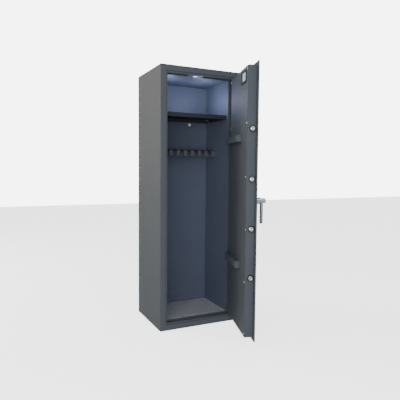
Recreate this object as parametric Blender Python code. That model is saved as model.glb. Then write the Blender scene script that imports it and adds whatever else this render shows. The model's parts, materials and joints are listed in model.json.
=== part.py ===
"""Gun safe with an inset, fire-insulated door, standing on its base.

Metres, +Z up.  The origin is the centre of the body's base; the front faces -Y.
The door is modelled shut, in the body's own axes, and its pivot empty is then
turned by DOOR_OPEN.  Depths called "back" are measured from the front plane.
"""

import bmesh
import bpy
from math import acos, cos, pi, radians, sin, sqrt, tan
from mathutils import Matrix, Vector

# ---------------------------------------------------------------- body sizes
WIDTH = 0.500
DEPTH = 0.400
HEIGHT = 1.500
FRONT = -DEPTH / 2
GAP = 0.0003
SHEET = 0.003              # casing steel
LINING = 0.0015            # lining steel
LINING_X = 0.210           # half width outside the lining
LINING_Z = (0.040, 1.460)
LINING_BACK = 0.359
RIM = 0.0397               # from the casing's inside to the door opening
REBATE = 0.0287            # from the casing's inside to the plate's recess
LEDGE_BACK = (0.0060, 0.0085)
JAMB_BACK = (0.0585, 0.061)
BAND_SHEET = 0.003         # front fold steel
CARPET_BACK = 0.063
CARPET_TOP = 0.046

# ---------------------------------------------------------------- fittings
SHELF_TOP = 1.254
SHELF_LIP = 0.024
SHELF_FRONT = 0.080
SHELF_SHEET = 0.0015
SHELF_PLAY = 0.0008        # from the shelf's or rack's end to the lining
CLIP_INSET = (0.024, 0.034)  # from the shelf's front and rear edges
CLIP_ROOM = 0.007
CLIP_R = 0.0052
CLIP_OUT = 0.016
RACK_TOP = 1.042
RACK_HEIGHT = 0.034
RACK_FRONT = 0.225
RACK_DEPTH = 0.066
RACK_SHEET = 0.002
NOTCH_PITCH = 0.048
NOTCHES = 8
NOTCH_HALF = 0.0135
NOTCH_REACH = 0.046
PAD = 0.0047
PAD_NOTCH_HALF = 0.0105
PAD_NOTCH_REACH = 0.043
LAMP_X = (-0.075, 0.018)
LAMP_SHEET = 0.002
LENS_X = -0.028
LENS_BACK = 0.030
LENS_HOLE_R = 0.0125
LENS_R = 0.015
ANCHOR_X = 0.086
ANCHOR_Z = 1.216
ANCHOR_R = 0.007
CAP_R = 0.011

# ---------------------------------------------------------------- door sizes
PIVOT = Vector((0.235, FRONT + 0.012, 0.0))
DOOR_OPEN = radians(72.7)
PLATE_X = (-0.216, 0.2125)
PLATE_Z = (0.0335, 1.4665)
PLATE = 0.005
BOX_X = (-0.185, 0.195)
BOX_Z = (0.050, 1.450)
BOX_BACK = 0.0485
BOX_SHEET = 0.0025
BOX_LIP = 0.016
PANEL_INSET = 0.001
PANEL_BACK = (0.0488, 0.0503)
MID_Z = 0.7505
SCREW_X = (-0.178, 0.188)
SCREW_PITCH = 0.2728
SCREWS_PER_SIDE = 6
SCREW_HOLE_R = 0.0026
HINGE_Z = (MID_Z - 0.340, MID_Z + 0.340)
ARM_X = -0.070
ARM_ROOT = 0.194
ARM_DEEP = 0.026
ARM_SHEET = 0.003
ARM_HALF = 0.019
NECK_HALF = 0.015
EYE_R = 0.008
PIN_R = 0.005
PIN_HEAD_R = 0.0072
BRACKET_X = 0.226
BRACKET_BACK = (0.0034, 0.057)
RATING_X = (-0.160, -0.050)
RATING_Z = (1.366, 1.430)

# ---------------------------------------------------------------- bolt work
BOLT_R = 0.0125
BOLT_BACK = 0.0225
BOLT_PITCH = 0.2557
BOLT_TIP_X = -0.199
BOLTS = 4
THROW = 0.024
BUSH_HOLE_R = 0.0152
BUSH_LIP_R = 0.0175
CARRIER_X = (-0.094, -0.058)
CARRIER_BACK = (0.024, 0.030)
CARRIER_Z = (0.345, 1.156)
GUIDE_X = -0.076
GUIDE_Z = (0.480, 1.020)
GUIDE_R = 0.005
SPINDLE = Vector((-0.145, 0.0, 0.763))
SPINDLE_R = 0.007
BORE_PLAY = 0.0005
ROSE_R = 0.024
HUB_R = 0.013
SOCKET_R = 0.0063
LEVER_BACK = -0.042
LEVER_END_Z = 0.643
LEVER_R = 0.0085
PITCH_R = THROW / (pi / 2)
TEETH = 18
GEAR_BACK = (0.0305, 0.038)
RACK_X = (-0.156, -0.060)
RACK_STEEL_TOP = 0.7915
KEY = Vector((-0.150, 0.0, 0.832))
KEY_R = 0.007
KEY_PLATE_R = 0.022
LOCK_BACK = (0.0125, 0.042)
LOCK_SHEET = 0.002
HARD_X = (-0.178, -0.104)
HARD_Z = (0.715, 0.861)
LOCK_X = (-0.172, -0.124)
LOCK_Z = (0.799, 0.862)
DEAD_X = (-0.139, -0.127)
DEAD_Z = (0.7988, 0.845)
DEAD_NOTCH = 0.0075
COVER_Z = KEY.z + 0.0165
COVER_R = 0.009
COVER_EAR_R = 0.0045
RIVET_R = 0.0014


# ================================================================ helpers
def clear_scene():
    for old in list(bpy.data.objects):
        bpy.data.objects.remove(old, do_unlink=True)


def material(name, colour, roughness, metallic=0.0):
    """A Principled material with linear colour, roughness and metallic."""
    mat = bpy.data.materials.new(name)
    mat.use_nodes = True
    shader = mat.node_tree.nodes["Principled BSDF"]
    shader.inputs["Base Color"].default_value = (*colour, 1.0)
    shader.inputs["Roughness"].default_value = roughness
    shader.inputs["Metallic"].default_value = metallic
    return mat


def add_object(name, bm, mat, origin=(0.0, 0.0, 0.0), smooth=False):
    """Turn a bmesh built in world coordinates into a named object at origin."""
    bmesh.ops.recalc_face_normals(bm, faces=bm.faces)
    mesh = bpy.data.meshes.new(name)
    bm.to_mesh(mesh)
    bm.free()
    mesh.transform(Matrix.Translation(-Vector(origin)))
    mesh.materials.append(mat)
    if smooth:
        mesh.shade_smooth()
        mesh.set_sharp_from_angle(angle=radians(35))
    obj = bpy.data.objects.new(name, mesh)
    obj.location = origin
    PARTS.objects.link(obj)
    return obj


def span(pair):
    """The middle and the length of a (low, high) pair."""
    return (pair[0] + pair[1]) / 2, pair[1] - pair[0]


def box(name, x, y, z, mat):
    """A block between (low, high) pairs."""
    bm = bmesh.new()
    centre, size = zip(span(x), span(y), span(z))
    matrix = Matrix.Translation(centre) @ Matrix.Diagonal((*size, 1.0))
    bmesh.ops.create_cube(bm, size=1.0, matrix=matrix)
    return add_object(name, bm, mat, centre)


def apply_modifiers(obj):
    """Replace the object's mesh by its evaluated mesh."""
    graph = bpy.context.evaluated_depsgraph_get()
    mesh = bpy.data.meshes.new_from_object(obj.evaluated_get(graph))
    obj.modifiers.clear()
    obj.data = mesh


def combine(obj, tools, operation):
    """Boolean each tool object with obj, then remove the tools."""
    for tool in tools:
        mod = obj.modifiers.new(operation.title(), "BOOLEAN")
        mod.operation = operation
        mod.solver = "EXACT"
        mod.object = tool
        bpy.context.view_layer.update()
        apply_modifiers(obj)
        bpy.data.objects.remove(tool, do_unlink=True)
    return obj


def cut_box(x, y, z):
    return box("cut", x, y, z, STEEL)


def rod(name, start, end, radius, mat, segments=32):
    """A closed cylinder between two points."""
    start, end = Vector(start), Vector(end)
    along = end - start
    turn = along.to_track_quat("Z", "Y").to_matrix().to_4x4()
    bm = bmesh.new()
    bmesh.ops.create_cone(
        bm, cap_ends=True, segments=segments, radius1=radius, radius2=radius,
        depth=along.length, matrix=Matrix.Translation((start + end) / 2) @ turn)
    return add_object(name, bm, mat, start, smooth=True)


def turned(name, foot, axis, profile, mat, steps=32):
    """A ring or knob turned about axis through foot.

    profile lists (radius, distance along axis); a bored piece closes on itself,
    a solid one starts and ends on the axis at radius 0.
    """
    turn = Vector(axis).to_track_quat("Z", "Y").to_matrix().to_4x4()
    place = Matrix.Translation(foot) @ turn
    bored = min(radius for radius, _ in profile) > 0
    bm = bmesh.new()
    rings = []
    for radius, height in profile:
        if radius == 0:
            rings.append([bm.verts.new(place @ Vector((0, 0, height)))] * steps)
            continue
        rings.append([
            bm.verts.new(place @ Vector((radius * cos(t), radius * sin(t), height)))
            for t in (2 * pi * i / steps for i in range(steps))])
    pairs = list(zip(rings, rings[1:]))
    if bored:
        pairs.append((rings[-1], rings[0]))
    for low, high in pairs:
        for i in range(steps):
            j = (i + 1) % steps
            corners = dict.fromkeys((low[i], low[j], high[j], high[i]))
            if len(corners) > 2:
                bm.faces.new(corners)
    return add_object(name, bm, mat, foot, smooth=True)


def extruded(name, outline, low, high, normal, mat):
    """A flat outline given a thickness along +Y ("Y") or +Z ("Z")."""
    bm = bmesh.new()
    loops = []
    for level in (low, high):
        if normal == "Y":
            loops.append([bm.verts.new((u, level, v)) for u, v in outline])
        else:
            loops.append([bm.verts.new((u, v, level)) for u, v in outline])
    bm.faces.new(loops[0])
    bm.faces.new(reversed(loops[1]))
    count = len(outline)
    for i in range(count):
        j = (i + 1) % count
        bm.faces.new((loops[0][i], loops[0][j], loops[1][j], loops[1][i]))
    return add_object(name, bm, mat)


def mitred_ring(name, x, z, profile, mat):
    """A folded section carried round a rectangle with mitred corners.

    profile is a closed list of (inset from the rectangle, depth back).
    """
    bm = bmesh.new()
    loops = []
    for inset, back in profile:
        left, right = x[0] + inset, x[1] - inset
        low, high = z[0] + inset, z[1] - inset
        corners = ((left, low), (right, low), (right, high), (left, high))
        loops.append([bm.verts.new((u, FRONT + back, v)) for u, v in corners])
    for loop, following in zip(loops, loops[1:] + loops[:1]):
        for i in range(4):
            j = (i + 1) % 4
            bm.faces.new((loop[i], loop[j], following[j], following[i]))
    return add_object(name, bm, mat)


def open_tray(name, x, back, z, wall, mat):
    """A box with one wall thickness, open at the front."""
    y = (FRONT + back[0], FRONT + back[1])
    tray = box(name, x, y, z, mat)
    inside = cut_box((x[0] + wall[0], x[1] - wall[0]), (y[0] - 0.01, y[1] - wall[1]),
                     (z[0] + wall[2], z[1] - wall[2]))
    return combine(tray, [inside], "DIFFERENCE")


def empty(name, location, parent=None):
    obj = bpy.data.objects.new(name, None)
    obj.empty_display_size = 0.05
    obj.location = location
    PARTS.objects.link(obj)
    if parent:
        hang([obj], parent)
    return obj


def hang(objects, parent):
    """Parent objects to an empty and keep them where they are."""
    bpy.context.view_layer.update()
    for obj in objects:
        obj.parent = parent
        obj.matrix_parent_inverse = parent.matrix_world.inverted()


def back(depth):
    """World Y of a depth behind the front plane."""
    return FRONT + depth


# ================================================================ body
def make_shell():
    """Casing, insulation, lining and the door frame."""
    half = WIDTH / 2
    inner = half - SHEET
    casing = open_tray("outer_casing", (-half, half), (0.0, DEPTH), (0.0, HEIGHT),
                       (SHEET, SHEET, SHEET), PAINT)
    fill_x = (GAP - inner, inner - GAP)
    fill_z = (SHEET + GAP, HEIGHT - SHEET - GAP)
    fill_back = (JAMB_BACK[1] + GAP, DEPTH - SHEET - GAP)
    walls = (inner - LINING_X - 2 * GAP, fill_back[1] - LINING_BACK - GAP)
    fill = open_tray("fire_insulation", fill_x, fill_back, fill_z,
                     (*walls, LINING_Z[0] - GAP - fill_z[0]), FILL)
    lining = open_tray("inner_lining", (-LINING_X, LINING_X),
                       (JAMB_BACK[1] + GAP, LINING_BACK), LINING_Z,
                       (LINING, LINING, LINING), LINER)
    for part in (casing, fill, lining):
        drills = [rod("drill", (side * ANCHOR_X, back(0.34), ANCHOR_Z),
                      (side * ANCHOR_X, back(0.41), ANCHOR_Z), ANCHOR_R, STEEL, 16)
                  for side in (-1, 1)]
        combine(part, drills, "DIFFERENCE")
    make_frame(fill_x, fill_z)


def make_frame(x, z):
    """The welded frame: front band, rebate and ledge, and a jamb behind.

    The channel between the ledge and the jamb is open for the bolts.
    """
    root = REBATE - BAND_SHEET
    profile = [
        (0.0, 0.0), (REBATE, 0.0), (REBATE, LEDGE_BACK[0]), (RIM, LEDGE_BACK[0]),
        (RIM, LEDGE_BACK[1]), (root, LEDGE_BACK[1]), (root, BAND_SHEET), (0.0, BAND_SHEET)]
    fold = mitred_ring("door_frame", x, z, profile, PAINT)
    notches = [cut_box((0.2045, 0.2225), (back(0.0045), back(0.0125)),
                       (level - 0.022, level + 0.022)) for level in HINGE_Z]
    combine(fold, notches, "DIFFERENCE")
    mitred_ring("door_jamb", x, z, [(0.0, JAMB_BACK[0]), (RIM, JAMB_BACK[0]),
                                    (RIM, JAMB_BACK[1]), (0.0, JAMB_BACK[1])], PAINT)


def make_anchor_caps():
    for side, name in ((-1, "left"), (1, "right")):
        face = LINING_BACK - LINING - GAP
        turned(f"anchor_cap_{name}", (side * ANCHOR_X, back(face), ANCHOR_Z), (0, 1, 0),
               [(0, -0.003), (0.008, -0.003), (CAP_R, -0.0015), (CAP_R, 0),
                (ANCHOR_R - GAP, 0), (ANCHOR_R - GAP, 0.012), (0, 0.012)], WHITE, 20)


def make_carpet():
    inside = LINING_X - LINING - GAP
    rear = LINING_BACK - LINING - GAP
    box("floor_carpet", (-inside, inside), (back(CARPET_BACK), back(rear)),
        (LINING_Z[0] + LINING + GAP, CARPET_TOP), CARPET)


def make_shelf():
    """A folded shelf tray hanging its flanges down, on four wall clips."""
    inside = LINING_X - LINING
    edge = inside - SHELF_PLAY
    rear = LINING_BACK - LINING - 0.001
    low, fold = SHELF_TOP - SHELF_LIP, SHELF_SHEET
    shelf = box("shelf", (-edge, edge), (back(SHELF_FRONT), back(rear)), (low, SHELF_TOP), PAINT)
    hollow = cut_box((fold - edge, edge - fold), (back(SHELF_FRONT + fold), back(rear - fold)),
                     (low - 0.01, SHELF_TOP - fold))
    combine(shelf, [hollow], "DIFFERENCE")
    ends = (("front", SHELF_FRONT + CLIP_INSET[0]), ("rear", rear - CLIP_INSET[1]))
    notches = []
    for side, hand in ((-1, "left"), (1, "right")):
        walls = sorted((side * (edge - 0.003), side * (edge + 0.003)))
        for end, depth in ends:
            notches.append(cut_box(walls, (back(depth - CLIP_ROOM), back(depth + CLIP_ROOM)),
                                   (low - 0.01, SHELF_TOP - fold)))
            make_clip(f"shelf_clip_{hand}_{end}", side, depth, inside)
    combine(shelf, notches, "DIFFERENCE")


def make_clip(name, side, depth, inside):
    """A turned stud in the side wall that carries the shelf's underside."""
    level = SHELF_TOP - SHELF_SHEET - GAP - CLIP_R
    turned(name, (side * (inside - GAP), back(depth), level), (-side, 0, 0),
           [(0, 0), (CLIP_R, 0), (CLIP_R, CLIP_OUT - 0.002), (CLIP_R - 0.001, CLIP_OUT),
            (0, CLIP_OUT)], CHROME, 16)


def make_rack():
    """The barrel rest: a folded comb with a rubber pad on its upper face."""
    inside = LINING_X - LINING - SHELF_PLAY
    low, fold = RACK_TOP - RACK_HEIGHT, RACK_SHEET
    rear = RACK_FRONT + RACK_DEPTH
    comb = box("barrel_rack", (-inside, inside), (back(RACK_FRONT), back(rear)),
               (low, RACK_TOP), PAINT)
    hollow = cut_box((-inside - 0.01, inside + 0.01),
                     (back(RACK_FRONT + fold), back(rear - fold)), (low - 0.01, RACK_TOP - fold))
    combine(comb, [hollow], "DIFFERENCE")
    pad = box("rack_rubber", (-inside, inside), (back(RACK_FRONT + 0.0005), back(rear - 0.002)),
              (RACK_TOP + GAP, RACK_TOP + GAP + PAD), RUBBER)
    for part, half, reach, floor in (
            (comb, NOTCH_HALF, NOTCH_REACH, low),
            (pad, PAD_NOTCH_HALF, PAD_NOTCH_REACH, RACK_TOP)):
        slots = []
        for i in range(NOTCHES):
            centre = (i - (NOTCHES - 1) / 2) * NOTCH_PITCH
            slots.append(notch_cutter(centre, half, reach, floor))
        combine(part, slots, "DIFFERENCE")


def notch_cutter(centre, half, reach, floor):
    """A slot from the front with a round end, deep enough for one barrel."""
    round_y = back(RACK_FRONT + reach - half)
    outline = [(centre + half, back(RACK_FRONT) - 0.01)]
    for i in range(9):
        angle = pi * i / 8
        outline.append((centre + half * cos(angle), round_y + half * sin(angle)))
    outline.append((centre - half, back(RACK_FRONT) - 0.01))
    return extruded("slot", outline, floor - 0.01, RACK_TOP + 0.02, "Z", STEEL)


def make_lamp():
    """A lamp plate across the frame's upper channel, with a round lens."""
    level = HEIGHT - SHEET - GAP - RIM
    carrier = box("lamp_plate", LAMP_X, (back(LEDGE_BACK[1] + GAP), back(JAMB_BACK[0] - GAP)),
                  (level, level + LAMP_SHEET), PAINT)
    place = Vector((LENS_X, back(LENS_BACK), level))
    rise = Vector((0, 0, 0.01))
    hole = rod("drill", place - rise, place + rise, LENS_HOLE_R, STEEL, 24)
    combine(carrier, [hole], "DIFFERENCE")
    stem = LENS_HOLE_R - GAP
    turned("lamp_lens", place - Vector((0, 0, GAP)), (0, 0, 1),
           [(0, -0.004), (0.010, -0.0035), (LENS_R, -0.0015), (LENS_R, 0),
            (stem, 0), (stem, 0.008), (0, 0.008)], LENS, 24)


def pin_drill(level):
    start, end = (PIVOT + Vector((0, 0, level + side * 0.03)) for side in (-1, 1))
    return rod("drill", start, end, PIN_R + GAP, STEEL, 24)


def make_hinge_brackets():
    """A clevis welded to the casing in the channel, and a pin, at each hinge."""
    wall = WIDTH / 2 - SHEET
    tall = NECK_HALF + 0.0055
    for level, name in zip(HINGE_Z, ("lower", "upper")):
        bracket = box(f"hinge_bracket_{name}", (BRACKET_X, wall - GAP),
                      [back(depth) for depth in BRACKET_BACK], (level - tall, level + tall), ZINC)
        slot_z = (level - NECK_HALF - 0.0005, level + NECK_HALF + 0.0005)
        throat = cut_box((0.21, 0.2402), (back(0.0), back(0.06)), slot_z)
        eye_room = cut_box((0.22, 0.25), (back(0.0), back(0.0215)), slot_z)
        combine(bracket, [throat, eye_room, pin_drill(level)], "DIFFERENCE")
        head = 2 * tall + 0.003 + GAP
        turned(f"hinge_pin_{name}", PIVOT + Vector((0, 0, level - tall - 0.003)), (0, 0, 1),
               [(0, 0), (PIN_R, 0), (PIN_R, head), (PIN_HEAD_R, head),
                (PIN_HEAD_R, head + 0.0027), (0, head + 0.0027)], CHROME, 24)


# ================================================================ door
def make_door():
    """Plate, folded box, inner panel and screws, all in the shut position."""
    plate = box("door_plate", PLATE_X, (back(0), back(PLATE)), PLATE_Z, PAINT)
    bores = [bore_y(SPINDLE, SPINDLE_R + BORE_PLAY), bore_y(KEY, KEY_R + BORE_PLAY)]
    combine(plate, bores, "DIFFERENCE")

    fold = BOX_SHEET
    profile = [(0, PLATE + GAP), (0, BOX_BACK), (BOX_LIP, BOX_BACK), (BOX_LIP, BOX_BACK - fold),
               (fold, BOX_BACK - fold), (fold, PLATE + GAP)]
    rim = mitred_ring("door_box", BOX_X, BOX_Z, profile, PAINT)
    holes = []
    for level in bolt_levels():
        start, end = ((BOX_X[0] + side * 0.01, back(BOLT_BACK), level) for side in (-1, 1))
        holes.append(rod("drill", start, end, BUSH_HOLE_R, STEEL, 24))
    combine(rim, holes, "DIFFERENCE")

    edge = PANEL_INSET
    panel = box("door_panel", (BOX_X[0] + edge, BOX_X[1] - edge),
                [back(depth) for depth in PANEL_BACK], (BOX_Z[0] + edge, BOX_Z[1] - edge), PAINT)
    screws = []
    for side, x in zip(("free", "hinge"), SCREW_X):
        for i in range(SCREWS_PER_SIDE):
            level = MID_Z + (i - (SCREWS_PER_SIDE - 1) / 2) * SCREW_PITCH
            screws.append(make_screw(f"panel_screw_{side}_{i + 1}", x, level))
            for part in (panel, rim):
                combine(part, [bore_y(Vector((x, 0, level)), SCREW_HOLE_R, 12)], "DIFFERENCE")
    return [plate, rim, panel] + screws


def bore_y(centre, radius, segments=24):
    """A drill through the door along the depth, at an (x, z) place."""
    return rod("drill", (centre[0], back(-0.02), centre[2]), (centre[0], back(0.07), centre[2]),
               radius, STEEL, segments)


def bolt_levels():
    return [MID_Z - 0.0025 + (i - (BOLTS - 1) / 2) * BOLT_PITCH for i in range(BOLTS)]


def make_screw(name, x, level):
    """A domed screw whose head rests on the inner panel."""
    face = back(PANEL_BACK[1] + GAP)
    return turned(name, (x, face, level), (0, 1, 0),
                  [(0, 0.0026), (0.0026, 0.0023), (0.0044, 0.0012), (0.0046, 0),
                   (0.0022, 0), (0.0022, -0.0062), (0, -0.0062)], CHROME, 12)


def make_bushes():
    """Flanged plastic guides that the four bolts slide in."""
    bushes = []
    bore = BOLT_R + GAP
    for i, level in enumerate(bolt_levels()):
        bushes.append(turned(
            f"bolt_bush_{i + 1}", (BOX_X[0] - GAP, back(BOLT_BACK), level), (-1, 0, 0),
            [(bore, 0.0025), (BUSH_LIP_R - 0.001, 0.0025), (BUSH_LIP_R, 0.0015),
             (BUSH_LIP_R, 0), (BUSH_HOLE_R - GAP, 0), (BUSH_HOLE_R - GAP, -0.009),
             (bore, -0.009)], PLASTIC, 24))
    return bushes


def make_hinge_arms():
    """Gooseneck arms: a pressed channel on the panel, a neck and an eye."""
    arms = []
    seat, fold = PANEL_BACK[1] + GAP, ARM_SHEET
    for level, name in zip(HINGE_Z, ("lower", "upper")):
        arm = box(f"hinge_arm_{name}", (ARM_X, ARM_ROOT), (back(seat), back(seat + ARM_DEEP)),
                  (level - ARM_HALF, level + ARM_HALF), PAINT)
        hollow = cut_box((ARM_X + fold, ARM_ROOT - fold),
                         (back(seat - 0.01), back(seat + ARM_DEEP - fold)),
                         (level - ARM_HALF + fold, level + ARM_HALF - fold))
        combine(arm, [hollow], "DIFFERENCE")
        neck = extruded("neck", neck_outline(seat), level - NECK_HALF, level + NECK_HALF,
                        "Z", PAINT)
        combine(arm, [neck], "UNION")
        arms.append(combine(arm, [pin_drill(level)], "DIFFERENCE"))
    return arms


def neck_outline(seat):
    """The gooseneck from the arm, across the jamb and round to the pin's eye."""
    near, far = -0.0035, 0.0045
    top = back(seat + 0.0062)
    start = acos(near / EYE_R)
    stop = 2 * pi + acos(far / EYE_R)
    points = [(ARM_ROOT - 0.004, top), (ARM_ROOT - 0.004, back(seat)),
              (PIVOT.x + near, back(seat))]
    for i in range(17):
        angle = start + (stop - start) * i / 16
        points.append((PIVOT.x + EYE_R * cos(angle), PIVOT.y + EYE_R * sin(angle)))
    points.append((PIVOT.x + far, top))
    return points


def make_front_furniture():
    """Handle rose, and keyhole plate with the rivet that its cover swings on."""
    bore = SPINDLE_R + BORE_PLAY
    rose = turned("handle_rose", (SPINDLE.x, back(-GAP), SPINDLE.z), (0, -1, 0),
                  [(bore, 0), (ROSE_R, 0), (ROSE_R, 0.003), (ROSE_R - 0.003, 0.006),
                   (bore, 0.006)], CHROME, 32)
    plate = turned("keyhole_plate", (KEY.x, back(-GAP), KEY.z), (0, -1, 0),
                   [(0, 0), (KEY_PLATE_R, 0), (KEY_PLATE_R, 0.002),
                    (KEY_PLATE_R - 0.002, 0.003), (0, 0.003)], CHROME, 32)
    slot = cut_box((KEY.x - 0.0022, KEY.x + 0.0022), (back(-0.02), back(0.01)),
                   (KEY.z - 0.009, KEY.z + 0.001))
    eye = bore_y(KEY, 0.0042, 16)
    rivet = turned("rivet", (KEY.x, back(0.0), COVER_Z), (0, -1, 0),
                   [(0, 0.001), (RIVET_R, 0.001), (RIVET_R, 0.0055), (2 * RIVET_R, 0.0055),
                    (2 * RIVET_R - 0.0004, 0.0066), (0, 0.0068)], CHROME, 12)
    combine(plate, [rivet], "UNION")
    combine(plate, [slot, eye], "DIFFERENCE")
    return [rose, plate]


def make_rating_plate():
    """A blank certificate plate on the inner panel's upper free corner."""
    face = PANEL_BACK[1] + GAP
    return box("rating_plate", RATING_X, (back(face), back(face + 0.0008)), RATING_Z, PLASTIC)


def make_lock_case():
    """Hard plate, lock case with a slot for its bolt, and the carrier guides."""
    hard = box("hard_plate", HARD_X, (back(PLATE + GAP), back(LOCK_BACK[0] - GAP)), HARD_Z, STEEL)
    combine(hard, [bore_y(SPINDLE, SPINDLE_R + BORE_PLAY), bore_y(KEY, KEY_R + BORE_PLAY)],
            "DIFFERENCE")

    wall, mouth_play = LOCK_SHEET, BORE_PLAY
    case = box("lock_case", LOCK_X, [back(depth) for depth in LOCK_BACK], LOCK_Z, ZINC)
    room = cut_box((LOCK_X[0] + wall, LOCK_X[1] - wall), (back(LOCK_BACK[0] + wall), back(0.05)),
                   (LOCK_Z[0] + wall, LOCK_Z[1] - wall))
    mouth = cut_box((DEAD_X[0] - mouth_play, DEAD_X[1] + mouth_play), (back(0.0295), back(0.05)),
                    (LOCK_Z[0] - 0.01, LOCK_Z[0] + 0.01))
    combine(case, [room, mouth, bore_y(KEY, KEY_R + BORE_PLAY)], "DIFFERENCE")

    shoulder, foot = CARRIER_BACK[0] - PLATE - 2 * GAP - 0.0002, PLATE + GAP
    guides = []
    for level, name in zip(GUIDE_Z, ("lower", "upper")):
        guides.append(turned(
            f"carrier_guide_{name}", (GUIDE_X - THROW / 2, back(foot), level), (0, 1, 0),
            [(0, 0), (0.009, 0), (0.009, shoulder), (GUIDE_R, shoulder), (GUIDE_R, 0.0250),
             (0, 0.0250)], STEEL, 20))
    return [hard, case] + guides


# ================================================================ moving work
def make_bolts():
    """Four round bolts butted on the carrier bar, with the rack on the bar."""
    bolts = []
    for i, level in enumerate(bolt_levels()):
        tail = CARRIER_X[0] - GAP
        bolts.append(turned(
            f"locking_bolt_{i + 1}", (tail, back(BOLT_BACK), level), (-1, 0, 0),
            [(0, 0), (BOLT_R, 0), (BOLT_R, tail - BOLT_TIP_X - 0.0015),
             (BOLT_R - 0.0015, tail - BOLT_TIP_X), (0, tail - BOLT_TIP_X)], CHROME, 32))
    carrier = box("bolt_carrier", CARRIER_X, (back(CARRIER_BACK[0]), back(CARRIER_BACK[1])),
                  CARRIER_Z, STEEL)
    slots = [guide_slot(level) for level in GUIDE_Z]
    combine(carrier, slots, "DIFFERENCE")
    rack = extruded("rack", rack_outline(), back(CARRIER_BACK[1] - 0.001), back(GEAR_BACK[1]), "Y", STEEL)
    combine(carrier, [rack], "UNION")
    return bolts + [carrier]


def guide_slot(level):
    """A round-ended slot; the guide post stands at its free-side end."""
    radius = GUIDE_R + BORE_PLAY
    left, right = GUIDE_X - THROW / 2, GUIDE_X + THROW / 2
    outline = []
    for centre, turn in ((right, -pi / 2), (left, pi / 2)):
        for i in range(7):
            angle = turn + pi * i / 6
            outline.append((centre + radius * cos(angle), level + radius * sin(angle)))
    return extruded("slot", outline, back(0.02), back(0.034), "Y", STEEL)


def rack_outline():
    """Straight-sided teeth below, two dead-bolt notches above."""
    module = 2 * PITCH_R / TEETH
    pitch = pi * module
    line = SPINDLE.z + PITCH_R
    tip, root = line - 0.85 * module, line + 1.15 * module
    top = RACK_STEEL_TOP
    slope = tan(radians(20))
    half = 0.46 * pitch / 2
    left, right = RACK_X
    points = [(left, top), (left, root)]
    first = int((left - SPINDLE.x) / pitch)
    centre = SPINDLE.x + (first + 0.5) * pitch
    while centre < -0.108:
        if centre - half - 0.001 > left:
            for x, z in ((-half - (root - line) * slope, root), (-half + (line - tip) * slope, tip),
                         (half - (line - tip) * slope, tip), (half + (root - line) * slope, root)):
                points.append((centre + x, z))
        centre += pitch
    points += [(right, root), (right, top)]
    for shift in (THROW, 0.0):
        a, b = DEAD_X[0] - 0.0007 + shift, DEAD_X[1] + 0.0007 + shift
        points += [(b, top), (b, top - DEAD_NOTCH), (a, top - DEAD_NOTCH), (a, top)]
    return points


def gear_outline():
    """An involute pinion whose gap at the top meets a rack tooth."""
    module = 2 * PITCH_R / TEETH
    base = PITCH_R * cos(radians(20))
    tip = PITCH_R + 0.85 * module
    root = PITCH_R - 1.2 * module
    half_pitch = 0.46 * pi / TEETH

    def roll(radius):
        """Angle of the involute at a radius, measured from the pitch point."""
        def curve(r):
            ratio = sqrt(max((r / base) ** 2 - 1, 0.0))
            return ratio - acos(min(base / r, 1.0))
        return curve(radius) - curve(PITCH_R)

    flank = [root] + [base + (tip - base) * i / 3 for i in range(4)]
    points = []
    for tooth in range(TEETH):
        middle = pi / 2 + 2 * pi * tooth / TEETH
        for radius in flank:
            angle = middle - half_pitch + roll(max(radius, base))
            points.append((SPINDLE.x + radius * cos(angle), SPINDLE.z + radius * sin(angle)))
        for radius in reversed(flank):
            angle = middle + half_pitch - roll(max(radius, base))
            points.append((SPINDLE.x + radius * cos(angle), SPINDLE.z + radius * sin(angle)))
    return points


def make_handle():
    """Hub, lever, spindle and the pinion that drives the rack."""
    hub = turned("handle_hub", (SPINDLE.x, back(-0.0066), SPINDLE.z), (0, -1, 0),
                 [(0, 0.030), (SPINDLE_R + GAP, 0.030), (SPINDLE_R + GAP, 0), (HUB_R - 0.0005, 0),
                  (HUB_R, 0.001), (HUB_R, 0.0548), (HUB_R - 0.0015, 0.0568), (0, 0.0568)],
                 CHROME, 32)
    socket = rod("drill", (SPINDLE.x, back(LEVER_BACK), SPINDLE.z - 0.0095),
                 (SPINDLE.x, back(LEVER_BACK), SPINDLE.z - 0.03), SOCKET_R, STEEL, 24)
    combine(hub, [socket], "DIFFERENCE")
    grip = SPINDLE.z - 0.0137 - LEVER_END_Z
    lever = turned("handle_lever", (SPINDLE.x, back(LEVER_BACK), SPINDLE.z - 0.0137), (0, 0, -1),
                   [(0, -0.0038), (SOCKET_R - GAP, -0.0038), (SOCKET_R - GAP, 0),
                    (LEVER_R - 0.001, 0),
                    (LEVER_R, 0.001), (LEVER_R, grip - 0.0015), (LEVER_R - 0.0015, grip),
                    (0, grip)], CHROME, 28)
    spindle = turned("handle_spindle", (SPINDLE.x, back(-0.0360), SPINDLE.z), (0, 1, 0),
                     [(0, 0), (SPINDLE_R, 0), (SPINDLE_R, 0.0800), (0, 0.0800)], STEEL, 24)
    pinion = extruded("pinion", gear_outline(), back(GEAR_BACK[0]), back(GEAR_BACK[1]), "Y",
                      STEEL)
    combine(spindle, [pinion], "UNION")
    return [hub, lever, spindle]


def make_lock():
    """The key-driven barrel and the dead bolt that drops into the rack."""
    barrel = turned("key_barrel", (KEY.x, back(0.0005), KEY.z), (0, 1, 0),
                    [(0, 0), (KEY_R, 0), (KEY_R, 0.0360), (0, 0.0360)], BRASS, 24)
    ward = box("slot", (KEY.x - 0.0012, KEY.x + 0.0012), (back(-0.01), back(0.024)),
               (KEY.z - 0.008, KEY.z + 0.003), STEEL)
    combine(barrel, [ward], "DIFFERENCE")
    dead = box("dead_bolt", DEAD_X, (back(0.0300), back(0.0375)), DEAD_Z, BRASS)
    return barrel, dead


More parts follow.
